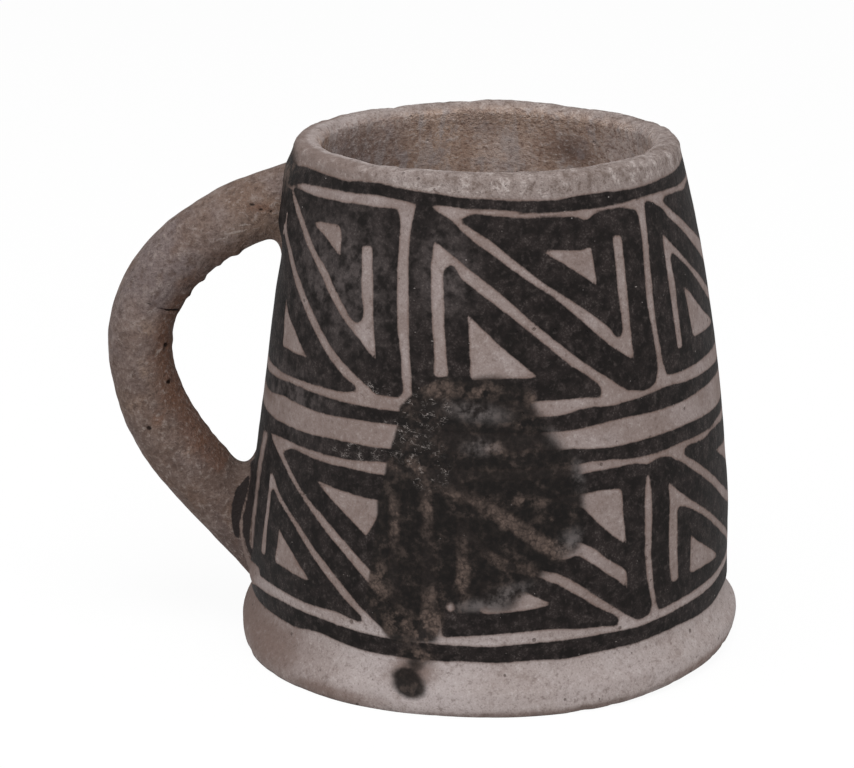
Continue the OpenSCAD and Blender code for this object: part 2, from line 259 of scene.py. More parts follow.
# Each panel has two slanting lines that end in upright bars, and a triangle in two of its corners
upper_left = [
    [-88, 104.6, -84, 103.2, -80, 102.1, -75, 101, -72.5, 100.4, -70, 99.6, -65, 97.4, -60, 94.8, -55, 91.9,
     -50, 89.5, -47.5, 87.8, -45, 85.7, -40, 82, -38, 80.3, -36.5, 79.6, -35, 79.7, -34, 81, -34, 82.5,
     -34.9, 84.5, -35.6, 87, -36, 90, -36.4, 92.5, -37, 95.3, -33.4, 95.6, -32.8, 92, -31.9, 88, -31.4, 84,
     -30.7, 80, -29.6, 75, -29, 72.6, -32.5, 74.8, -35, 76.7, -40, 79.6, -45, 83, -50, 86.8, -55, 89.9,
     -60, 92.5, -65, 95.3, -70, 97.4, -75, 99.4, -80, 100.7, -84, 101.7, -88, 102.8],
    [-88.5, 98, -86.5, 98.2, -84, 96.2, -80, 94, -75, 92.1, -70, 89.9, -65, 86.9, -60, 84.1, -55, 81,
     -50, 77.8, -45, 74.4, -40, 71.4, -35, 69.1, -30, 66.7, -27.5, 65.4, -26, 63.5, -33.5, 63.5, -34, 65.8,
     -34.3, 66.5, -35, 67, -37.5, 67.7, -40, 68.9, -45, 71.9, -50, 75.2, -55, 78.3, -60, 81.5, -65, 84.3,
     -70, 87.4, -75, 90.1, -80, 92, -84.5, 93.4, -85, 85, -84.6, 71.5, -87.2, 71.4, -87.8, 82],
    [-59, 97.4, -55, 98.2, -50, 98.3, -46.5, 98.5, -45.2, 97.6, -44.6, 95, -43.9, 91.9, -47.5, 93.7,
     -50, 94.8, -55, 96.5],
    [-68.8, 80.5, -67.5, 78.3, -65, 76.3, -60, 74, -55, 71, -52, 69.6, -60, 69.5, -66.4, 69.3, -66.4, 72,
     -67.1, 74, -67.9, 76],
    [-28, 104.6, -26.3, 103, -25.5, 101, -25.3, 96, -25.1, 91, -24.5, 86, -24, 81, -23.3, 78, -22.4, 74,
     -21.9, 70, -21.3, 68, -21.6, 66.6, -22.8, 65.8, -26, 65.4, -27, 63.5, -18, 63.5, -18.8, 65, -19.1, 67,
     -19.4, 70, -20, 74, -20.6, 79, -21, 83, -21.4, 88, -22.1, 93, -22.3, 98, -22, 101, -21.4, 103.5,
     -20.8, 105.5],
]
upper_middle = [
    [-17, 105, -15.5, 104, -12.5, 102.9, -10, 101.7, -7.5, 100, -5, 98.4, 0, 95.9, 5, 93, 10, 90.1,
     15, 87.6, 20, 84.3, 25, 80.6, 30, 76.8, 32.5, 75.2, 35, 73.7, 38.4, 71.8, 38.2, 76, 38.3, 85,
     38.3, 97.3, 35.2, 97.6, 35.3, 90, 35.2, 86, 35.6, 82, 35.6, 78.8, 35.1, 77.5, 34.2, 77, 33, 77.5,
     32, 79, 30, 80.5, 25, 83.7, 20, 86.5, 15, 89.1, 10, 92.2, 5, 95.3, 0, 98.4, -4, 100.1, -7, 101.5,
     -8.8, 102.4, -8, 102.6, -6, 103.4, -5, 105],
    [-15.3, 98, -14.5, 97.7, -12.5, 96.6, -10, 95.3, -5, 92.4, 0, 89.5, 5, 86.4, 10, 82.5, 15, 79.1,
     20, 75.7, 25, 72.3, 30, 69.5, 32.5, 67.9, 35, 66.5, 36.8, 65.5, 37, 63.5, 27.8, 63.5, 28, 66, 28, 67.6,
     27.3, 68.4, 25, 70, 20, 73, 15, 76.5, 10, 80.1, 5, 83.4, 0, 86.4, -5, 89.3, -7.5, 90.7, -8.5, 92,
     -9.5, 93.3, -11, 93.4, -12.3, 92.2, -12.2, 90, -11.8, 86, -11.5, 81, -10.9, 77, -10.4, 73, -10, 71,
     -13.8, 70.8, -13.7, 74, -14.2, 78, -14.8, 82, -15.4, 88, -15.7, 93],
    [-6, 84.4, -5, 83.3, -2.5, 81.3, 0, 79.4, 5, 75.7, 10, 72.3, 12, 70.8, 2, 70.9, -4.7, 70.5, -4.9, 74,
     -5.2, 78, -5.3, 81],
    [12.8, 96.6, 15, 96.2, 20, 95.8, 25, 95.5, 28, 96, 28.2, 94, 28.7, 91, 29, 87.6, 27.5, 88.9, 25, 90.4,
     20, 93.1, 15, 95.3],
    [42, 103.5, 44.5, 102, 45.7, 100.5, 45.9, 97, 45.6, 93, 45.1, 88, 44.8, 84, 44.9, 81, 45.4, 77.5,
     45.8, 74, 46.4, 71, 46.3, 69, 45.6, 67, 44.5, 65.8, 43.5, 63.5, 51, 63.5, 50, 66.5, 49.2, 67.8,
     48.5, 70, 47.8, 73.5, 47.3, 78, 47.2, 82, 47.5, 86, 47.8, 91, 48.2, 95, 48.6, 99, 48.7, 101.5,
     49.3, 103.5],
]
upper_right = [
    [49.5, 104.5, 50, 103, 52.5, 102.3, 55, 101.3, 57.5, 99.9, 60, 98.1, 65, 95.6, 70, 92.9, 75, 89.8,
     80, 87, 85, 84, 90, 81, 95, 77.9, 100, 75, 104, 73, 107, 72, 107.2, 85, 107, 97.3, 104, 97.4, 104, 85,
     103.8, 78.5, 102.3, 77.9, 99, 80, 95, 83, 90, 86, 85, 88.7, 80, 90.9, 75, 93.2, 70, 95.6, 65, 98,
     60, 100.4, 57.8, 101.5, 57.4, 102.3, 58.6, 102.8, 60, 104.5],
    [55, 95.6, 57.5, 94, 60, 92.4, 65, 89.3, 70, 86.4, 75, 83.8, 80, 81, 85, 78, 90, 75.2, 95, 72, 99, 69.6,
     103, 67.3, 105, 65, 105, 63.5, 97.4, 63.5, 97.6, 67.2, 94, 69.5, 90, 72, 85, 75, 80, 78.4, 75, 81.5,
     70, 84.8, 65, 87.7, 62.5, 89, 60, 90.5, 58.5, 91.2, 57.2, 90, 57.7, 86, 57.5, 80, 57.5, 74, 57.8, 71.4,
     55.3, 71.4, 55.1, 75, 54.8, 80, 54.6, 87, 54.8, 92],
    [61.8, 84, 63, 83.2, 65, 82.1, 70, 78.9, 75, 75.9, 80, 73.4, 83, 71.5, 75, 71.8, 70, 72.1, 64.2, 72.4,
     63.8, 74, 63.4, 78, 63.1, 80.5, 62.4, 82.3],
    [83, 96.3, 89, 96, 97.3, 95.5, 97.5, 88.5, 94, 90.8, 89, 93.8, 85, 95.5],
]
lower_left = [
    [-69.5, 50.8, -67.5, 49, -65, 48, -62.5, 46.9, -60, 45.8, -55, 43, -50, 40.2, -45, 37.4, -40, 34.3,
     -35, 31.1, -30, 27.5, -27.5, 25.7, -24, 23, -21.2, 21.2, -20.8, 28, -20.9, 34.8, -20.8, 42.8,
     -21.2, 46.8, -24.2, 46.4, -23.9, 42.4, -23.7, 38.2, -23.6, 31, -24, 28, -25.8, 27.6, -27.5, 28.7,
     -30, 30.4, -35, 33.8, -40, 36.8, -42.5, 38.2, -45, 39.3, -50, 41.6, -55, 44.7, -57.5, 46.2, -59, 47,
     -60.4, 47.9, -60, 48.6, -58.5, 49.2, -58, 50.8],
    [-66.4, 42.4, -65, 42, -63.5, 41.2, -62.5, 40.4, -60, 38.8, -57.5, 37.4, -55, 36.2, -50, 34,
     -47.5, 32.4, -45, 30.8, -40, 27.7, -35, 24.1, -30, 20.5, -27.5, 18.9, -25, 17.3, -23, 15.5, -31, 15.5,
     -30, 17.8, -30.3, 18.8, -32.5, 20.1, -35, 21.7, -40, 25.1, -45, 28.5, -50, 32, -55, 34.9, -57.5, 36,
     -60, 37.1, -62.5, 38.6, -64, 39, -65, 38.2, -65.2, 35, -65.8, 31, -66.4, 27, -66.8, 23.2, -70, 23.2,
     -69.4, 26, -68.4, 29.5, -67.8, 32.5, -67.2, 35.5, -66.6, 38.5],
    [-59.5, 31.6, -57.5, 30.2, -55, 28.9, -50, 25.9, -47.5, 24.4, -45.3, 22.9, -50, 23, -55, 23.4,
     -60.9, 23.5, -60.2, 26, -59.7, 28],
    [-46.5, 45.6, -42.5, 45, -40, 44.8, -35, 44.5, -30, 44.2, -26.2, 44.3, -25.8, 42.5, -27, 40.2,
     -28.4, 38, -29.4, 36, -32.5, 38.1, -35, 39.6, -40, 42.1, -42.5, 43.5],
    [-17.3, 50.5, -16.1, 47, -15.7, 39.1, -15.6, 32.8, -15.7, 24.2, -16.5, 16, -10.6, 16, -11.5, 24.5,
     -12.1, 33.1, -12.6, 39.3, -13.5, 47.2, -12.8, 50.7],
]
lower_middle = [
    [-13, 50.8, -8, 49.6, -3, 48, 2, 45.2, 6, 43, 10, 40.4, 13, 38, 16, 36.8, 20.5, 36.3, 22.5, 35.5,
     25, 34.2, 27.5, 32, 30, 30.5, 32.7, 28.7, 33, 26, 33.4, 24, 30, 27.1, 27.5, 28.7, 25, 30.6, 22.5, 32.2,
     20.5, 33.6, 17, 32.9, 14, 33.3, 10, 35.5, 6, 38.5, 2, 41, -3, 44.2, -8, 46, -13.5, 47.6],
    [-7.8, 43, -7, 42.5, -4, 40, -1, 36.6, 2, 34.6, 6, 33.2, 10, 31.8, 12.5, 30.9, 15, 30.3, 17.5, 29.2,
     20, 27.6, 22.5, 26, 25, 24, 27.5, 22.4, 30, 20.8, 32.5, 18.9, 35, 17.5, 37, 16.8, 38, 15.8, 30.2, 15.8,
     30.7, 17.8, 30, 19.1, 27.5, 20.4, 25, 21.7, 22.5, 23.5, 20, 25, 17.5, 26.6, 15, 28, 10, 29.9, 5, 31,
     1, 32.3, -2, 34.6, -4.6, 38, -4.7, 31.3, -4.3, 23, -6.7, 23, -7.5, 31.2],
    [-2.2, 29.4, 3, 28.6, 7.5, 27, 10, 25.7, 12.5, 24.5, 14.8, 23.8, 12.5, 23.2, 10, 22.8, 5, 22.4, 0, 22,
     -2.2, 22],
    [11, 46.2, 16, 46.4, 22, 46.4, 27, 46.6, 32.2, 46.2, 32.3, 43, 32.4, 40, 32.7, 37, 33, 34, 30, 36.1,
     27.5, 38.1, 25, 40.2, 23.4, 42, 22, 43.4, 16, 45],
    [39.8, 48, 39, 46, 38.6, 43, 38.5, 37, 38.3, 31, 38.5, 28, 38.8, 25, 39.4, 22.5, 40, 20.5, 39.9, 18.8,
     39.2, 17.3, 38.5, 15.8, 43.6, 15.8, 42.4, 17.6, 41.6, 19.2, 41.3, 21.5, 40.7, 24, 40.5, 28, 40.2, 31,
     40.6, 35, 40.8, 40, 40.8, 44, 40.5, 48],
    [-10, 24.4, -8, 24.2, -7.8, 22.2, -9.6, 22],
]
lower_right = [
    [46.5, 51.5, 48.2, 50, 50, 49, 52.5, 48, 55, 46.4, 60, 43.6, 65, 40.8, 70, 38.2, 75, 34.8, 80, 32.3,
     85, 29.6, 90, 26.6, 93.5, 24, 93.8, 35, 93.8, 46, 91, 46.2, 91, 35, 90.6, 28.6, 88, 30.2, 85, 32,
     80, 35, 75, 37.6, 70, 40.5, 65, 43.2, 60, 46, 55, 48.5, 53.3, 49.6, 53, 51.5],
    [46.3, 45.2, 47.5, 44.4, 50, 42.4, 52.5, 40.9, 55, 39.3, 60, 36.7, 65, 34.1, 70, 31.3, 75, 28.4,
     80, 25.6, 85, 22.6, 90, 19.2, 93, 16.5, 93, 15.5, 87.5, 15.5, 87.6, 18.7, 85, 20.7, 80, 23.4, 75, 26.1,
     70, 29.1, 65, 32.2, 60, 34.8, 55, 37.3, 52.5, 38.4, 50.5, 39, 49.5, 38.6, 49.3, 35, 49.3, 25,
     49.5, 22.9, 46.7, 22.9, 46.3, 26, 46.1, 31, 46.3, 36, 46.7, 41],
    [54.6, 32.3, 55, 31.5, 57.5, 29.7, 60, 28.3, 65, 25.6, 67.5, 24.2, 70, 22.6, 62, 22.8, 54.2, 23,
     54.3, 26, 54.6, 29],
    [71.5, 46.2, 82, 45, 88, 44.8, 88.2, 36.8, 85, 38.8, 80, 42.2, 76, 43.9],
    [96.2, 51.5, 96.6, 40, 96.4, 28, 96.2, 16.5, 99.6, 16.5, 99, 28, 99.2, 40, 99.4, 51.5],
]


def moved(outlines, old_start, old_end, start, end):
    """The outlines of one panel fitted between two other angles."""
    stretch = (end - start) / (old_end - old_start)
    pairs = [np.reshape(points, (-1, 2)) for points in outlines]
    return [(pair - [old_start, 0]) * [stretch, 1] + [start, 0] for pair in pairs]


# The sides that the photograph doesn't show repeat its middle panel above, after one more of the bars that
# part the panels, and its right panel below
bar = upper_middle[4:]
upper_shapes = upper_left + upper_middle + upper_right + moved(bar, 46.8, 50, 117, 120.2)
for start, end in ((117, 189), (190, 265.5)):
    upper_shapes += moved(upper_middle, -23, 46.8, start, end)
lower_shapes = lower_left + lower_middle + lower_right
for start in (98, 151.5, 205):
    lower_shapes += moved(lower_right, 40.2, 98, start, start + 53.5)


def brushed(points, mm_per_degree=1.0):
    """A closed outline in mm, with its corners rounded as a brush leaves them."""
    loop = np.reshape(points, (-1, 2)) * [mm_per_degree, 1]
    fine = []
    for a, b in zip(loop, np.roll(loop, -1, 0)):
        steps = int(np.hypot(*(b - a)) / 2) + 1
        fine += [a + (b - a) * k / steps for k in range(steps)]
    here, ahead = np.array(fine), np.roll(fine, -1, 0)
    return np.stack([0.75 * here + 0.25 * ahead, 0.25 * here + 0.75 * ahead], 1).reshape(-1, 2)


def depth_in(loop, u, v, reach=5.0):
    """How far in from an outline's edge each point lies, in mm; outside it is below 0, at most reach."""
    depth = np.full(u.shape, -reach)
    low, high = loop.min(0) - reach, loop.max(0) + reach
    near = (u > low[0]) & (u < high[0]) & (v > low[1]) & (v < high[1])
    if not near.any():
        return depth
    u, v = u[near], v[near]
    a, b = loop[:, None], np.roll(loop, -1, 0)[:, None]
    du, dv = (b - a)[..., 0], (b - a)[..., 1]
    pu, pv = u - a[..., 0], v - a[..., 1]
    share = np.clip((pu * du + pv * dv) / (du * du + dv * dv), 0, 1)
    gap = np.sqrt(((pu - share * du) ** 2 + (pv - share * dv) ** 2).min(0))
    crossed = (a[..., 1] > v) != (b[..., 1] > v)
    left = pu < pv / np.where(dv == 0, 1, dv) * du
    depth[near] = np.where((crossed & left).sum(0) % 2 == 1, gap, -gap)
    return depth


# The design is measured on the even shape along the lines of sight, so where the wall stands out each point
# takes the angle at which its line of sight meets the even shape
height = row_z + 0 * angles
eye = (0.0, -608.0, 238.8)
stood_out = all_round(row_r + pushed, row_z)
meet_y = stood_out[..., 1]
for _ in range(8):
    share = (meet_y - eye[1]) / (stood_out[..., 1] - eye[1])
    meet_x, meet_z = stood_out[..., 0] * share, eye[2] + (height - eye[2]) * share
    meet_y = -np.sqrt(np.clip(outer_r(meet_z) ** 2 - meet_x ** 2, 1, None))
in_view = np.where(angles < 0, fade(-angles, 90, 82), fade(angles, 84, 66)) * on_outside
drawn_at = angles + (np.degrees(np.arctan2(meet_x, -meet_y)) - angles) * in_view


def over_all(line):
    """The height of a ring's edge for every point of the body."""
    return np.interp(drawn_at, angles, line, period=360)


# pale: how far each point lies inside the pale slip, in mm, and below 0 inside the black
pale = np.maximum(height - over_all(lip_ring[0]), over_all(foot_ring[1]) - height)
for over, under in (
    (lip_ring, upper_field), (upper_field, second_ring), (second_ring, third_ring),
    (third_ring, lower_field), (lower_field, foot_ring),
):
    pale = np.maximum(pale, np.minimum(over_all(over[1]) - height, height - over_all(under[0])))
for shapes, mm_per_degree, over, under in (
    (upper_shapes, 0.8, lip_ring[1], second_ring[0]), (lower_shapes, 0.9, third_ring[1], foot_ring[0]),
):
    between_rings = np.minimum(over_all(over) - height, height - over_all(under))
    for shape in shapes:
        loop = brushed(shape, mm_per_degree)
        middle = loop[:, 0].mean() / mm_per_degree
        around = ((drawn_at - middle + 180) % 360 - 180 + middle) * mm_per_degree
        pale = np.maximum(pale, np.minimum(depth_in(loop, around, height), between_rings))

# Strokes round the lower root of the handle, laid on flank and wall alike. They are drawn as they look in
# the photograph: each point slides along the line of sight to an upright plane at the handle's flank.
flank_y = -8.0
root_wall_line = brushed([
    -49.2, 47.6, -49.5, 45.7, -50, 42.1, -50.6, 38.9, -50.9, 35.7, -51.2, 32.7, -51.7, 30.1, -52.1, 27.5,
    -52.5, 24.9, -52.8, 22.3, -52.7, 21, -52.4, 19.8, -52, 19.8, -51.9, 21.3, -51.7, 23.6, -51.5, 26.2,
    -51.1, 28.8, -50.8, 31.4, -50.4, 34.4, -50, 37, -49.6, 39.5, -49.1, 42.1, -48.7, 44.7, -48.3, 46.6,
])
root_edge_line = brushed([
    -52.4, 36.6, -52.8, 34.4, -53.3, 32.1, -54.1, 29.5, -54.7, 27.5, -54.9, 25.6, -54.8, 23.6, -54.6, 21.6,
    -54.4, 19.7, -53.9, 18, -53.5, 16.7, -53.1, 15.1, -51.4, 12.8, -49.3, 10.1, -46.6, 8.2, -46.5, 11.1,
    -48.9, 13.4, -50.7, 15.4, -52.3, 16.9, -53, 18, -53.6, 19.7, -54, 21.6, -54.2, 23.3, -54.2, 25.2,
    -54.1, 27.2, -53.6, 29.5, -53, 31.9, -52.6, 34.4, -52.2, 36.6,
])


def seen_on_flank(points):
    """How far right and how high the lines of sight to points cross the plane at the handle's flank."""
    share = (flank_y - eye[1]) / (points[..., 1] - eye[1])
    return eye[0] + (points[..., 0] - eye[0]) * share, eye[2] + (points[..., 2] - eye[2]) * share


beside_root = (angles < -70) & (even[..., 1] < 0) & on_outside
for line in (root_wall_line, root_edge_line):
    pale = np.where(beside_root, np.maximum(pale, depth_in(line, *seen_on_flank(stood_out))), pale)
pale = np.where(on_outside, pale, 5.0)
# One light blur rounds the inner corners too
pale = 0.76 * pale + 0.12 * (np.roll(pale, 1, 1) + np.roll(pale, -1, 1))
pale[1:-1] = 0.76 * pale[1:-1] + 0.12 * (pale[2:] + pale[:-2])
mark(body, "pale", pale)


def soft_spots(spots, angle, height, mm_per_degree=0.9):
    """Soft ovals, 1 at the middle and 0 at the rim: angle, height, half width, half height and any slant."""
    total = np.zeros(np.broadcast(angle, height).shape)
    for at, up, wide, tall, *slant in spots:
        u, v = ((angle - at + 180) % 360 - 180) * mm_per_degree, height - up
        s, c = np.sin(np.radians(sum(slant))), np.cos(np.radians(sum(slant)))
        reach = np.hypot((u * c + v * s) / wide, (v * c - u * s) / tall)
        total = np.maximum(total, 1 - fade(reach, 0, 1))
    return total


def on_body(*spots):
    """Soft spots on the body."""
    return soft_spots(spots, angles, height)


# Soot, 1 where it covers the design, with a firm edge on the left and a soft one on the right. It also
# carries a painted contact shadow: a dark line along the bottom edge of the foot
soot_loop = brushed([
    -22.4, 64, -22.6, 60, -24.4, 55, -25.4, 50, -27, 44, -27, 38, -28, 31, -29, 22.4, -26, 18, -22.8, 14.2,
    -12, 15, -10.8, 18, -10.2, 22.4, -9.4, 24, -8, 23.8, -7.4, 21.8, -3.4, 21.6, -2.6, 22.8, 4.5, 22.6,
    8.5, 26, 12.7, 29.9, 17, 33, 21, 34.5, 22.2, 41, 22.6, 49, 21.6, 53, 19.5, 55.4, 16.8, 57.4, 14.2, 60.2,
    12, 63.4, 10.6, 67.3, 7, 70.2, 0, 71.4, -4.7, 70.8, -11, 71, -16.5, 68.6, -19.6, 66.6,
], 0.9)
soot_depth = depth_in(soot_loop, 0.9 * angles + 0 * height, height)
softness = 0.9 + 2.7 * fade(angles, -18, 12) + 0.8 * fade(height, 30, 22)
soot_and_contact_shadow = fade(soot_depth, -softness, softness)
blot = on_body((-18.1, 6.7, 6.2, 4.4), (-18.8, 7.8, 5.8, 3.6), (-17.2, 5.5, 5.8, 3.8))
smear = on_body((-16.5, 12.0, 8, 4.5), (-17, 10.4, 5.5, 4), (-20, 18, 7, 5))
rim_smear = on_body((-86, 105.0, 26, 8.0))
# The last of these is painted shadow, the dark line where the foot meets the table
for more in (1.14 * blot, 0.8 * smear, 1.2 * rim_smear, 0.36 * fade(height, 2.0, 0.9)):
    soot_and_contact_shadow = np.maximum(soot_and_contact_shadow, more)
mark(body, "soot_and_contact_shadow", np.where(on_outside, soot_and_contact_shadow, 0))
# Under the soot: where it is brown, where it was wiped to a grey, and where the pale shapes can be made out
mark(body, "mottle", on_body(
    (-13, 68.6, 8, 3.8), (-3, 68.4, 9, 3.0), (10, 61.6, 6.5, 2.6), (-21, 18.5, 8, 6), (-14, 17, 8, 7),
    (-16, 12.0, 11, 4), (11, 66, 5, 3, -40), (-86, 105, 24, 9), (-20, 52, 8, 3.4), (1, 57, 4, 2.4),
    (16, 34.5, 5, 3, -25), (-26, 26, 5, 9), (8, 45.6, 8.5, 1.9, -4), (13, 42.0, 5, 1.6),
))
mark(body, "haze", on_body(
    (-3, 64.0, 10, 3.0, -6), (-2, 57.0, 6, 2.6), (-1, 23.6, 10, 2.4), (17, 59.0, 6, 4.5, -45),
    (21.6, 51, 3.0, 6), (19.0, 36.5, 5, 4, 30), (4, 26, 8, 3, 20),
))
mark(body, "shows", on_body(
    (4, 41.4, 21, 4.2, -25), (6, 54.2, 10, 3.0, 2), (-22.5, 41, 3.4, 8), (-14, 45.5, 3.4, 7),
    (-12.4, 22, 5, 9), (-6, 30, 4.0, 11), (3, 32, 14, 4.4, -15), (13, 37, 8, 5, -30),
    (-8, 46.2, 6, 2.6, -25),
) ** 0.75)
# Where the black has cracked, and where it is thin and grey
mark(body, "crazed", on_body(
    (-20, 58, 12, 11), (-34, 55, 11, 6), (-16, 64, 10, 6), (-14, 51, 8, 6), (-30, 66, 8, 5),
) * on_outside)
mark(body, "faded", on_body((-45, 88, 30, 22), (-60, 60, 26, 12), (-12, 92, 12, 14)))
# Where the slip is browner, which is all of the wall, the left of the foot and the lip over the handle. On
# the left of the foot the brown is partly painted shade, darkening the side turned from the light
over_handle = apart(-85)
stain_and_shade = 0.9 * on_body(
    (-82, 8, 42, 18), (-62, 6, 34, 12), (-50, 27, 6, 7), (-75, 57, 14, 4), (-38, 1.5, 22, 3.5),
    (10, 0.5, 40, 1.8), (60, 1, 30, 2.4), (-18, 9, 9, 6), (-82, 18, 26, 9),
)
stain_and_shade = np.maximum(stain_and_shade, 0.52 * fade(height, 12, 22) * (1 - 0.3 * fade(height, 104, 109)))
stain_and_shade = np.maximum(stain_and_shade, 0.85 * fade(over_handle, 85, 25) * fade(height, 102, 107))
mark(body, "stain_and_shade", stain_and_shade * on_outside)
# Where the slip is worn, and the bare clay, which is the inside with its sooty places and under the foot
bare_under_r = 36
worn = fade(height, lip_z - 3.5, lip_z - 0.5) * (1 - 0.55 * fade(over_handle, 90, 25))
mark(body, "worn", np.maximum(worn, 0.35 * fade(height, 3.0, 0.8)))
bare = on_inside | (row_r < bare_under_r)
mark(body, "inside", np.where(bare, fade(height, mug_h + 0.5, mug_h - 3), 0))
mark(body, "sooty_inside", on_body((236, 98, 40, 22), (262, 90, 20, 16), (150, 101, 16, 7)) * on_inside)


class Wire:
    """A socket of a material. + - * / on it add Math nodes, or Vector Math nodes where it is a vector."""

    def __init__(self, tree, socket=None):
        self.tree, self.socket = tree, socket

    def node(self, kind, settings=None, inputs=None, out=0):
        """Adds any other node, from its type, its settings, and the values or links of its sockets."""
        made = self.tree.nodes.new("ShaderNode" + kind)
        for name, value in (settings or {}).items():
            setattr(made, name, value)
        for key, value in (inputs or {}).items():
            if isinstance(value, Wire):
                self.tree.links.new(value.socket, made.inputs[key])
            else:
                made.inputs[key].default_value = value
        return Wire(self.tree, made.outputs[out]) if made.outputs else made

    def sum(self, operation, first, second):
        """Adds a math node. Beside a vector, a plain number stands for all three of its parts."""
        vector = self.socket.type != "VALUE"
        pair = [(v, v, v) if vector and isinstance(v, (int, float)) else v for v in (first, second)]
        return self.node("VectorMath" if vector else "Math", {"operation": operation}, dict(enumerate(pair)))

    def __add__(self, other):
        return self.sum("ADD", self, other)

    def __sub__(self, other):
        return self.sum("SUBTRACT", self, other)

    def __rsub__(self, other):
        return self.sum("SUBTRACT", other, self)

    def __mul__(self, other):
        return self.sum("MULTIPLY", self, other)

    def __truediv__(self, other):
        return self.sum("DIVIDE", self, other)

    def __rtruediv__(self, other):
        return self.sum("DIVIDE", other, self)

    __radd__, __rmul__ = __add__, __mul__

    def rise(self, start, end):
        """0 before start, 1 after end, smooth between them."""
        ends = {"Value": self, "From Min": start, "From Max": end}
        return self.node("MapRange", {"interpolation_type": "SMOOTHSTEP"}, ends)

    def between(self, low, high):
        """The colour low where this is 0, and high where it is 1."""
        return self.node("Mix", {"data_type": "RGBA"}, {0: self, 6: low, 7: high}, out=2)

    def grain(self, size, detail, rough=0.5):
        """Cloudy noise, 0 to 1, with patches of the given size in mm."""
        values = {"Vector": self, "Scale": 1 / size, "Detail": detail, "Roughness": rough}
        return self.node("TexNoise", {}, values)

    def bent(self, size, reach):
        """The place shifted by smooth noise, by up to about reach mm."""
        shift = self.node("TexNoise", {}, {"Vector": self, "Scale": 1 / size}, out=1)
        return self + (shift - 0.5) * (2 * reach)

    def cells(self, size):
        """Distance from the borders of cells of the given size in mm, as a share of it."""
        return self.node("TexVoronoi", {"feature": "DISTANCE_TO_EDGE"}, {"Vector": self, "Scale": 1 / size})

    def specks(self, size, radius, share):
        """Dots of about the radius in mm, one in each cell of the given size, in a share of the cells."""
        cells = {"Vector": self, "Scale": 1 / size}
        reach = self.node("TexVoronoi", {}, cells)
        pick = self.node("TexVoronoi", {}, cells, out=1)
        chosen = self.node("SeparateColor", {}, {0: pick}).rise(1 - share, 1 - share + 0.02)
        wide = self.node("SeparateColor", {}, {0: pick}, out=1) * (radius / size) + 0.4 * radius / size
        return (reach / wide).rise(1.0, 0.55) * chosen


def emptied(owner):
    """A wire in the emptied tree of a new material or world, to start from."""
    owner.use_nodes = True
    owner.node_tree.nodes.clear()
    return Wire(owner.node_tree)


def coating(name):
    """A new material and the first wire of its tree: the place on the piece, in mm."""
    material = bpy.data.materials.new(name)
    return material, emptied(material).node("TexCoord", out=3) * (1 / MM)


def kept(wire, name):
    """A number that mark() keeps on the piece."""
    return wire.node("Attribute", {"attribute_name": name}, out=2)


def finish(material, wire, colour, roughness, relief_mm, specular=0.14):
    """Ends a material: relief_mm is the height of its fine relief in mm."""
    bump = wire.node("Bump", {}, {"Height": relief_mm, "Distance": MM, "Strength": 1.0})
    surface = wire.node("BsdfPrincipled", {}, {
        "Base Color": colour, "Roughness": roughness, "Normal": bump, "Specular IOR Level": specular})
    wire.node("OutputMaterial", {}, {"Surface": surface})


def paint(*rgb):
    """A colour from red, green and blue as a paint chart gives them, 12 to 255, in the renderer's scale."""
    return *(((part / 255 + 0.055) / 1.055) ** 2.4 for part in rgb), 1.0


def layered(colour, *coats):
    """Thin coats of paint over a colour, each from its cover, 0 to 1, and its red, green and blue."""
    for cover, *rgb in coats:
        colour = cover.between(colour, paint(*rgb))
    return colour


# The slip, from the wear of its pale ground to the worn lip, its darker edge along the black, and its pits
material, place = coating("slip_and_black_paint")
broad, patchy, cloud = place.grain(24, 3), place.grain(6, 4), place.grain(3.0, 4, 0.6)
chalky, fine, grit = place.grain(2.6, 4, 0.62), place.grain(1.2, 4, 0.65), place.grain(0.4, 2)
depth, worn = kept(place, "pale"), kept(place, "worn")
wander = (place.grain(2.2, 2) - 0.5) * 0.35 + (fine - 0.5) * 0.3
is_pale = (depth + wander).rise(-0.16, 0.2)
# brown: the browner slip, which on the left of the foot is partly painted shade
brown = (kept(place, "stain_and_shade") + (patchy - 0.5) * 0.7).rise(0.0, 0.85)
pits, dots = place.specks(3.4, 0.42, 0.5), place.specks(1.4, 0.12, 0.35)
slip = layered(
    broad.rise(0.38, 0.62).between(paint(155, 145, 143), paint(141, 129, 125)),
    (((patchy - 0.5) * 1.4 + 0.3).rise(0, 1), 160, 151, 149),
    (brown * 0.85, 98, 80, 73),
    (fine.rise(0.52, 0.75) * (0.55 - brown * 0.35), 172, 164, 161),
    (fine.rise(0.48, 0.28) * 0.55, 90, 76, 71),
    (grit.rise(0.55, 0.75) * (0.4 - brown * 0.3), 176, 168, 166),
    (grit.rise(0.46, 0.28) * 0.4, 96, 82, 77),
    (cloud.rise(0.44, 0.28) * 0.35, 108, 93, 87),
    (worn * 0.75, 127, 115, 110),
    (worn * chalky.rise(0.48, 0.64) * fine.rise(0.40, 0.60) * 0.7, 176, 166, 162),
    (worn * chalky.rise(0.47, 0.36) * 0.6, 88, 74, 67),
    (worn * fine.rise(0.42, 0.3) * 0.6, 78, 64, 58),
    (worn * grit.rise(0.48, 0.32) * 0.45, 78, 65, 60),
    (depth.rise(0.6, 0.0) * 0.45, 84, 63, 54),
    (pits * 0.7, 78, 66, 61),
    (dots * 0.4, 92, 80, 75),
)
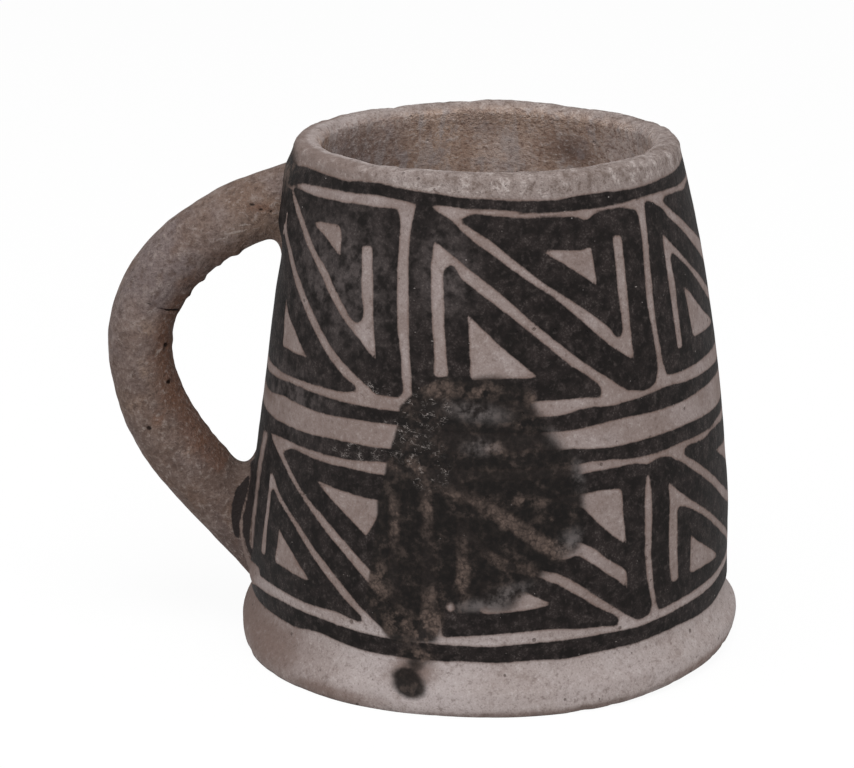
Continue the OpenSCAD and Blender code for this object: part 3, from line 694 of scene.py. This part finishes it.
# The bare scraped inside, with the streaks that drinks have left. Its colours are much lighter than the same
# bare clay on the handle: painted light, standing in for the light that reaches into the mug
scrape = (place * (0.7, 0.7, 1.0)).grain(0.75, 3, 0.7)
streaks = (place * (1.0, 1.0, 0.16)).grain(3.4, 3, 0.6)
bare = kept(place, "inside")
inside_clay_and_painted_light = layered(
    broad.rise(0.38, 0.6).between(paint(196, 182, 177), paint(180, 156, 141)),
    (kept(place, "sooty_inside") * 0.9, 104, 87, 81),
    (cloud.rise(0.5, 0.7) * 0.4, 196, 188, 187),
    (cloud.rise(0.48, 0.32) * 0.5, 128, 104, 92),
    (scrape.rise(0.50, 0.70) * 0.55, 206, 196, 192),
    (scrape.rise(0.49, 0.32) * 0.62, 104, 80, 68),
    (streaks.rise(0.52, 0.64) * cloud.rise(0.3, 0.55) * 0.45, 140, 113, 98),
    (streaks.rise(0.47, 0.36) * 0.4, 178, 170, 169),
    (fine.rise(0.47, 0.3) * 0.6, 112, 90, 80),
    (patchy.rise(0.52, 0.66) * 0.35, 150, 142, 144),
)
slip = bare.between(slip, inside_clay_and_painted_light)
# The black, rubbed, flaked, dusty and finely cracked
flakes, dust = place.specks(7.0, 0.40, 0.3), place.specks(2.4, 0.15, 0.3)
nicks = (place * (0.4, 0.4, 1.0)).specks(1.5, 0.12, 0.14)
streaked = place * (0.6, 0.6, 1.2)
wavy, crossing = streaked.grain(2.6, 3, 0.6), streaked.grain(1.5, 3, 0.6)
hair = wavy.rise(0.488, 0.5) * wavy.rise(0.512, 0.5) + crossing.rise(0.484, 0.5) * crossing.rise(0.516, 0.5)
hair = hair * place.grain(1.9, 3).rise(0.46, 0.6)
hair = hair * (kept(place, "crazed") + (patchy - 0.5) * 1.2).rise(0.25, 0.7)
crack_dust = (150, 142, 138)
black = layered(
    cloud.rise(0.36, 0.66).between(paint(17, 13, 12), paint(34, 28, 27)),
    (kept(place, "faded") * cloud.rise(0.3, 0.66) * fine.rise(0.2, 0.6) * 0.8, 80, 73, 72),
    (fine.rise(0.5, 0.8) * 0.5, 78, 70, 68),
    (grit.rise(0.5, 0.75) * cloud.rise(0.45, 0.65) * 0.4, 96, 89, 86),
    (flakes * cloud.rise(0.45, 0.6) * 0.7, 140, 131, 126),
    (nicks * 0.55, *crack_dust),
    (dust * 0.6, 150, 143, 140),
    (hair * 0.7, *crack_dust),
)
coat = is_pale.between(black, slip)
# The soot, through which the pale shapes show only as brown cells. Its dark colour also paints the contact
# shadow along the bottom edge of the foot
dim_pale = (depth + (cloud - 0.5) * 2.6 + (fine - 0.5) * 1.2).rise(-0.9, 1.1) * kept(place, "shows")
mottle = kept(place, "mottle") * cloud.rise(0.36, 0.56)
celled = place.bent(2.0, 0.6).cells(1.2).rise(0.0, 0.26) * 0.5 + 0.5
dimmed = patchy.rise(0.3, 0.5) * 0.5 + cloud.rise(0.35, 0.55) * 0.5
browned = (dim_pale * 0.85 + mottle * 0.9).rise(0.0, 1.0) * celled * fine.rise(0.2, 0.6) * dimmed
wiped = kept(place, "haze") * (cloud * 0.6 + patchy * 0.4 + (fine - 0.5) * 0.5).rise(0.36, 0.66)
speckled = fine.rise(0.4, 0.75) * 0.6 + cloud.rise(0.4, 0.7) * 0.3
soot_and_shadow_colour = layered(
    speckled.between(paint(16, 13, 12), paint(40, 34, 31)),
    (cloud.rise(0.5, 0.68) * fine.rise(0.4, 0.6) * 0.45, 72, 61, 56),
    (browned, 92, 78, 71),
    (wiped * 0.6, 108, 102, 101),
    (dust * 0.35, 120, 113, 110),
)
soot_and_shadow_cover = (kept(place, "soot_and_contact_shadow") + (cloud - 0.5) * 0.55 + (fine - 0.5) * 0.25).rise(0.22, 0.82)
coat = layered((soot_and_shadow_cover * 0.97).between(coat, soot_and_shadow_colour), (hair * soot_and_shadow_cover * 0.62, *crack_dust))
roughness = is_pale * 0.12 + 0.74 + fine * 0.1
relief_mm = fine * 0.18 + grit * 0.06 + patchy * 0.12 - pits * 0.22 - flakes * 0.06 - is_pale * 0.03
relief_mm = relief_mm + bare * scrape * 0.16 + worn * (cloud * 0.35 + fine * 0.3 + grit * 0.2)
finish(material, place, coat, roughness, relief_mm)
body.data.materials.append(material)
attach(body, "root")
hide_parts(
    "base_disc", "wall_coil_1", "wall_coil_2", "wall_coil_3", "wall_coil_4", "wall_coil_5",
    "wall_coil_6", "wall_coil_7", "rim_coil")

# Handle. One thick roll of clay bent to a bow, with its tenons pushed through the wall and soft clay worked
# round both roots until they run into it. It is bare but for the strokes on its lower root.


def leaving(z, slope):
    """Where the roll leaves the wall, at height z, and its direction there, rising by slope in degrees."""
    tilt = np.radians(slope)
    return np.array([-float(outer_r(z)), 0, z]), np.array([-np.cos(tilt), 0, np.sin(tilt)])


roll_top, top_out = leaving(97.5, -19.5)
roll_low, low_out = leaving(22.0, 48.5)
roll_far = np.array([-76.4, 0, 63.8])
# Thickness seen from the side and width from front to back, at the upper root, the farthest point, the lower
top_size, far_size, low_size = (14.2, 19.0), (14.1, 17.5), (16.0, 19.0)
# The fingers squeezed the roll thinner at both roots
top_pinched, low_pinched = (14.2, 13.6), (15.0, 18.4)
top_straight, low_straight = 3.0, 8.0
# How far the roots' clay runs over the wall, and how far out from it, before it is the roll
top_spread, top_climb = (7.2, 1.0, -0.2), 4.6
low_spread, low_climb = (10.4, 0.0, 6.0), 8.4
top_pull_share, low_pull_share = 0.373, 0.33
roll_sides, bow_steps = 120, 90
round_roll = 2 * np.pi * np.arange(roll_sides) / roll_sides


def oval(middle, way, size):
    """One ring of the roll round a point of its path."""
    across = np.array([-way[2], 0, way[0]])
    return (
        middle + np.outer(np.cos(round_roll), [0, size[1] / 2, 0])
        + np.outer(np.sin(round_roll), across * size[0] / 2)
    )


def to_wall(points, way):
    """Length along way at which lines from points come to the wall."""
    low, high = np.zeros(len(points)), np.full(len(points), foot_r)
    for _ in range(24):
        mid = (low + high) / 2
        p = points + mid[:, None] * way
        outside = np.hypot(p[:, 0], p[:, 1]) > outer_r(p[:, 2])
        low, high = np.where(outside, mid, low), np.where(outside, high, mid)
    return low


def bow(start, start_pull, end_pull, end, share):
    """Point and direction of a curve that is pulled straight at both ends."""
    a, b, c, d = start, start + start_pull, end + end_pull, end
    left = 1 - share
    point = left ** 3 * a + 3 * left ** 2 * share * b + 3 * left * share ** 2 * c + share ** 3 * d
    way = left ** 2 * (b - a) + 2 * left * share * (c - b) + share ** 2 * (d - c)
    return point, way / np.linalg.norm(way)


def filled(ring, next_ring, steps):
    """The rings evenly between two others."""
    return [ring + (next_ring - ring) * k / steps for k in range(1, steps)]


def clear_length(root, out, size):
    """Length from a root at which a whole ring of the roll is off the wall."""
    return foot_r / 2 - to_wall(oval(root + out * foot_r / 2, out, size), -out).min()


def worked_root(start, out, size, spread, climb, finger_side, steps=26):
    """Rings from the clay smoothed out on the wall to the roll's own ring. spread is how far it runs over
    the wall on the finger's side, on the other side, and in front and behind."""
    across = np.array([-out[2], 0, out[0]])
    sunk, off_wall = 0.7, 12
    made = []
    for k in range(steps):
        bend = np.pi / 2 * k / (steps - 1)
        wide = (1 - np.sin(bend)) ** 1.1
        shift = finger_side * across * (spread[0] - spread[1]) / 2 * wide
        grown = (size[0] + (spread[0] + spread[1]) * wide, size[1] + 2 * spread[2] * wide)
        ring = oval(start + shift + out * off_wall, out, grown)
        lift = (climb + sunk) * (1 - np.cos(bend)) - sunk
        made.append(ring - out * (to_wall(ring, -out) - lift)[:, None])
    return made


bow_top = roll_top + top_out * (clear_length(roll_top, top_out, top_size) + top_straight)
bow_low = roll_low + low_out * (clear_length(roll_low, low_out, low_size) + low_straight)
top_pull = top_pull_share * np.linalg.norm(roll_far - bow_top)
low_pull = low_pull_share * np.linalg.norm(roll_far - bow_low)
upright = np.array([0.0, 0.0, 1.0])
roll = worked_root(bow_top, top_out, top_pinched, top_spread, top_climb, 1)
roll += filled(roll[-1], oval(bow_top, top_out, top_pinched), 6)
for start, start_pull, end_pull, end, start_size, end_size in (
    (bow_top, top_out * top_pull, upright * top_pull, roll_far, top_pinched, far_size),
    (roll_far, -upright * low_pull, low_out * low_pull, bow_low, far_size, low_pinched),
):
    for share in np.arange(bow_steps) / bow_steps:
        ease = (1 - np.cos(np.pi * share)) / 2
        size = np.array(start_size) * (1 - ease) + np.array(end_size) * ease
        roll.append(oval(*bow(start, start_pull, end_pull, end, share), size))
roll.append(oval(bow_low, -low_out, low_pinched))
low_root = worked_root(bow_low, low_out, low_pinched, low_spread, low_climb, -1)
# Past the farthest point the roll's rings are counted the other way across, as its path heads to the wall
turned_over = (roll_sides - np.arange(roll_sides)) % roll_sides
roll_low_ring = roll[-1][turned_over]
roll += [ring[turned_over] for ring in filled(roll_low_ring, low_root[-1], 8) + low_root[::-1]]
roll = np.array(roll)
middles = roll.mean(1, keepdims=True)
outward = roll - middles
outward /= np.linalg.norm(outward, axis=2, keepdims=True)
facing_finger = np.hypot(middles[..., 0], middles[..., 1]) - np.hypot(roll[..., 0], roll[..., 1])
flank_x, flank_z = seen_on_flank(roll)
crack = brushed([
    -75.6, 76.4, -74.6, 76.1, -73.6, 75.9, -72.9, 75.6, -71.9, 75, -70.8, 74.8, -69.5, 74.5, -68.2, 74.6,
    -67, 74.6, -65.5, 74.8, -65.5, 74.3, -67, 74.1, -68.2, 74.1, -69.5, 74.1, -70.8, 74.4, -71.9, 74.7,
    -72.9, 75.3, -73.6, 75.7, -74.6, 75.9, -75.6, 76.25,
])
cut = depth_in(crack, flank_x, flank_z)


def on_flank(*spots):
    """Soft spots on the handle, by how far right and how high they are on the plane at its flank."""
    return soft_spots(spots, flank_x, flank_z, 1.0)


pitted = on_flank(
    (-69.9, 66.5, 1.0, 0.8, 30), (-69.5, 58.2, 0.9, 0.7, -30), (-74.2, 47.6, 1.0, 0.7, -30),
    (-50.6, 97.6, 0.8, 0.5), (-48.6, 96.6, 0.6, 0.4), (-46.6, 96.2, 0.5, 0.4), (-49.3, 98.4, 0.5, 0.4),
)
chipped = on_flank(
    (-54.1, 87.1, 1.8, 1.3, 30), (-61.8, 81.6, 1.6, 1.1, 45), (-65.0, 78.2, 1.2, 1.8, 20),
    (-58.0, 84.9, 1.2, 0.8, 40), (-70.6, 66.0, 0.9, 1.2), (-69.6, 58.6, 0.9, 1.2),
) * (roll[..., 1] < 3)
front = roll[..., 1] < -1
roll_relief = waves(roll, (0.30, 17, 1.3), (0.16, 6, 5.2), (0.10, 2.4, 7.9))
roll_relief += fade(facing_finger, 3, 6) * 0.16 * ripple(roll, 1.7, 3.1)
at_wall = fade(np.hypot(roll[..., 0], roll[..., 1]) - outer_r(roll[..., 2]), 0.2, 3.0)
roll_relief = roll_relief * (0.25 + 0.75 * at_wall)
roll_relief += 0.45 * chipped * (facing_finger > 2)
roll_relief -= front * (0.7 * pitted + 0.4 * fade(cut, -0.2, 0.15))
roll = roll + outward * roll_relief[..., None]
in_wall = [3, 0, 0]
handle = skin("rolled_handle", roll, roll_top + in_wall, roll_low + in_wall)

# pale: below 0 inside the black strokes of the lower root
crescent = brushed([
    -52.6, 37.1, -53.4, 36.3, -54.3, 35.3, -55.3, 34, -55.9, 33.1, -55.7, 32.4, -56.2, 31.4, -56.5, 29.5,
    -56.7, 27.2, -56.6, 25.6, -56.4, 24.3, -56.1, 23.3, -55.5, 22.5, -55.1, 22.3, -55, 23.6, -54.9, 25.6,
    -54.7, 27.2, -54.1, 29.5, -53.4, 31.9, -52.8, 34.4, -52.4, 36.6,
])
field_at_root = brushed([
    -52.2, 40, -52.2, 36.6, -52.6, 34.4, -53, 31.9, -53.6, 29.5, -54.1, 27.2, -54.2, 25.2, -54.2, 23.3,
    -53.7, 21.6, -53.2, 19.7, -52.5, 18, -51.7, 16.9, -50.2, 15.4, -48.4, 13.4, -40, 11, -38, 44, -50, 42,
])
stroke = np.maximum(
    depth_in(crescent, flank_x, flank_z),
    np.minimum(depth_in(field_at_root, flank_x, flank_z), -depth_in(root_wall_line, flank_x, flank_z)),
)
marks = {
    "pale": np.where(front, -stroke, 5.0),
    "cut": np.where(front, cut, -5.0),
    "pitted": pitted * front,
    "slipped": np.where(front, depth_in(root_edge_line, flank_x, flank_z), -5.0),
    "finger_side": np.clip(facing_finger / 7, -1, 1),
    "chipped": chipped * fade(facing_finger, 4, 6),
    # low is 1 at the foot of the handle and 0 near its top, for painted shade that darkens the clay
    # downwards
    "low": fade(flank_z, 95, 20),
    "tan": front * on_flank(
        (-73.2, 70.2, 4.6, 3.6, 20), (-74.5, 61.0, 2.6, 5.0), (-77.0, 52.8, 3.6, 2.2, 20),
        (-66.0, 43.0, 2.2, 4.0, 20),
    ),
    "rusty": front * on_flank(
        (-70.2, 66.0, 2.2, 9.0), (-68.6, 56.0, 1.8, 6.0), (-62.0, 45.5, 1.9, 7.0, -38),
        (-48.8, 96.9, 4.5, 1.8), (-72.0, 50.0, 2.0, 4.0, -20),
    ),
    "scuffed": front * on_flank(
        (-71.7, 64.8, 2.1, 0.5, 54), (-75.2, 47.6, 0.8, 0.5), (-54.2, 91.6, 4.6, 0.4, 13),
        (-57.0, 90.2, 2.4, 0.35, 20), (-52.0, 93.2, 2.2, 0.3, 5),
    ),
}
for name, values in marks.items():
    mark(handle, name, values)

material, place = coating("bare_rolled_clay")
broad, patchy, cloud = place.grain(15, 3), place.grain(5, 4), place.grain(2.6, 4, 0.62)
fine, grit = place.grain(1.1, 4, 0.65), place.grain(0.4, 2)
# Painted shade: towards the foot of the handle the clay is painted darker, with fewer light patches, for the
# light from above falling off
low = kept(place, "low")
# Darker and browner towards the finger side: partly the clay's own brown, partly painted shade on the side
# of the roll that faces the wall
brown_and_shaded_inner_side = (kept(place, "finger_side") + (patchy - 0.5) * 0.9 + (fine - 0.5) * 0.3).rise(0.12, 0.85)
pits, dots = place.specks(6.5, 0.42, 0.3), place.specks(1.6, 0.16, 0.35)
stroke = (kept(place, "pale") + (place.grain(2.2, 2) - 0.5) * 0.4 + (fine - 0.5) * 0.3).rise(0.18, -0.14)
clay = layered(
    broad.rise(0.36, 0.64).between(paint(105, 93, 91), paint(110, 91, 80)),
    (low * 0.8, 80, 66, 61),
    (patchy.rise(0.46, 0.7) * 0.45, 122, 107, 101),
    (place.grain(9, 4, 0.6).rise(0.5, 0.66) * 0.55, 99, 79, 68),
    (cloud.rise(0.48, 0.32) * 0.72, 80, 65, 58),
    (cloud.rise(0.54, 0.7) * (0.55 - low * 0.4), 130, 117, 111),
    (kept(place, "tan") * cloud.rise(0.36, 0.6) * 0.75, 134, 114, 101),
    (brown_and_shaded_inner_side * 0.84, 94, 66, 52),
    (kept(place, "rusty") * cloud.rise(0.3, 0.55) * 0.75, 99, 70, 55),
    (fine.rise(0.5, 0.72) * 0.6, 142, 130, 124),
    (grit.rise(0.54, 0.74) * 0.22, 136, 124, 119),
    (grit.rise(0.48, 0.3) * 0.35, 72, 59, 54),
    (fine.rise(0.49, 0.3) * 0.65, 74, 60, 54),
    (pits * 0.7, 52, 41, 36),
    (dots * 0.5, 66, 54, 49),
    (kept(place, "chipped").rise(0.1, 0.7) * 0.7, 50, 33, 27),
    (kept(place, "scuffed").rise(0.15, 0.7) * fine.rise(0.3, 0.5) * 0.45, 168, 157, 150),
    (kept(place, "pitted").rise(0.15, 0.55) * 0.9, 30, 20, 16),
    ((kept(place, "cut") + (fine - 0.5) * 0.25).rise(-0.05, 0.11), 34, 24, 20),
    ((kept(place, "slipped") + (fine - 0.5) * 0.3).rise(-0.1, 0.2) * 0.7, 118, 103, 97),
    (stroke, 36, 30, 29),
)
relief_mm = fine * 0.65 + grit * 0.2 + patchy * 0.25 + cloud * 0.65 - pits * 0.25 - dots * 0.06
finish(material, place, clay, 0.88 - stroke * 0.1, relief_mm)
handle.data.materials.append(material)
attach(handle, "root")
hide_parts("handle_roll", "upper_luting", "lower_luting")

# Table and light. A white table that runs into a white surround, one wide lamp over the front and a weaker
# one on the left, and the camera at the height and angle of the photograph.

table_half_m, white, table_white = 4, (1, 1, 1, 1), (0.9, 0.9, 0.9, 1)
surround_light, own_light = 0.5, 0.94
table_mesh = bpy.data.meshes.new("table")
corners = [(x * table_half_m, y * table_half_m, 0) for x, y in ((-1, -1), (1, -1), (1, 1), (-1, 1))]
table_mesh.from_pydata(corners, [], [(0, 1, 2, 3)])
table = bpy.data.objects.new("table", table_mesh)
bpy.context.scene.collection.objects.link(table)


def seen_straight(start):
    """1 for what the camera sees, itself or in a gloss or through glass, and 0 for light on the mug."""
    seen = start.node("LightPath") + start.node("LightPath", out=3) + start.node("LightPath", out=6)
    return seen.rise(0, 1)


# Where the table is seen it shines white by itself, but for a small share that keeps the mug's shadow
material = bpy.data.materials.new("white_table")
start = emptied(material)
matt = start.node("BsdfDiffuse", {}, {"Color": table_white})
lit = start.node("Emission", {}, {"Color": white, "Strength": 1.0})
mixed = start.node("MixShader", {}, {0: seen_straight(start) * own_light, 1: matt, 2: lit})
start.node("OutputMaterial", {}, {"Surface": mixed})
table.data.materials.append(material)

world = bpy.data.worlds.new("surround")
bpy.context.scene.world = world
start = emptied(world)
ambient = start.node("Background", {}, {"Color": white, "Strength": surround_light})
backdrop = start.node("Background", {}, {"Color": white, "Strength": 1.0})
mixed = start.node("MixShader", {}, {0: seen_straight(start), 1: ambient, 2: backdrop})
start.node("OutputWorld", {}, {"Surface": mixed})


def lamp(name, place, target, size, watts):
    """A square soft lamp that faces the target, with its place and size in m."""
    data = bpy.data.lights.new(name, "AREA")
    data.size, data.energy = size, watts
    shown = bpy.data.objects.new(name, data)
    bpy.context.scene.collection.objects.link(shown)
    away = np.array(place) - target
    z = away / np.linalg.norm(away)
    x = np.cross([0, 0, 1], z)
    x /= np.linalg.norm(x)
    facing = Matrix(np.column_stack([x, np.cross(z, x), z])).to_4x4()
    shown.matrix_world = Matrix.Translation(place) @ facing


mug_middle = (0, 0, 0.06)
lamp("window", (0.18, -0.55, 1.25), mug_middle, 0.9, 15.0)
lamp("fill", (-0.95, -0.6, 0.75), mug_middle, 0.8, 3.5)

photo_width_px, focal_px, sensor_mm = 854, 2901.4, 36.0
turned_left, looks_down, leans_right = 1.297, 16.78, 0.28
camera_data = bpy.data.cameras.new("camera")
camera_data.sensor_fit, camera_data.sensor_width = "HORIZONTAL", sensor_mm
camera_data.lens = focal_px / photo_width_px * sensor_mm
camera = bpy.data.objects.new("camera", camera_data)
bpy.context.scene.collection.objects.link(camera)
camera.matrix_world = (
    Matrix.Translation([length * MM for length in eye])
    @ Matrix.Rotation(np.radians(turned_left), 4, "Z")
    @ Matrix.Rotation(np.radians(90 - looks_down), 4, "X")
    @ Matrix.Rotation(np.radians(-leans_right), 4, "Z")
)
bpy.context.scene.camera = camera
bpy.context.scene.view_settings.view_transform = "Standard"
